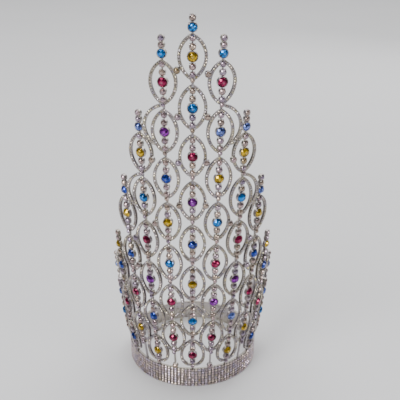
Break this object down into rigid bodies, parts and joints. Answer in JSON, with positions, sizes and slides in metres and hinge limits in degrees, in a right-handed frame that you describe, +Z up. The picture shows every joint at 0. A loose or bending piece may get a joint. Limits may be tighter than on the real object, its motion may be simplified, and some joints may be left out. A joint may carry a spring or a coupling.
{
  "type": "rhinestone crown",
  "caption": "Tall rhinestone crown: soldered columns of pointed loops set with coloured stones, highest in front, flaring out from a round stone-set head band and open at the back.",
  "frame": {"origin": "centre of the head opening, in the plane that the band rests on", "axes": "+Z up along the axis of the band, the tall front of the crown faces -Y"},
  "size_m": [0.1872, 0.1919, 0.4293],
  "materials": {
    "plated_metal": "silver-coloured plating, set with clear stones",
    "ruby_glass": "faceted",
    "aqua_glass": "faceted",
    "sapphire_glass": "faceted",
    "light_sapphire_glass": "faceted",
    "topaz_glass": "faceted",
    "amethyst_glass": "faceted",
    "crystal_glass": "faceted, clear, foiled back"
  },
  "bodies": {
    "root": {"base_band": "plated_metal", "column_00": "plated_metal", "column_01": "plated_metal", "column_02": "plated_metal", "column_03": "plated_metal", "column_04": "plated_metal", "column_05": "plated_metal", "column_06": "plated_metal", "column_07": "plated_metal", "column_17": "plated_metal", "column_18": "plated_metal", "column_19": "plated_metal", "column_20": "plated_metal", "column_21": "plated_metal", "column_22": "plated_metal", "column_23": "plated_metal", "stones_ruby": "ruby_glass", "stones_aqua": "aqua_glass", "stones_sapphire": "sapphire_glass", "stones_light_sapphire": "light_sapphire_glass", "stones_topaz": "topaz_glass", "stones_amethyst": "amethyst_glass", "stones_crystal": "crystal_glass", "link_cups": "plated_metal"}
  },
  "joints": []
}
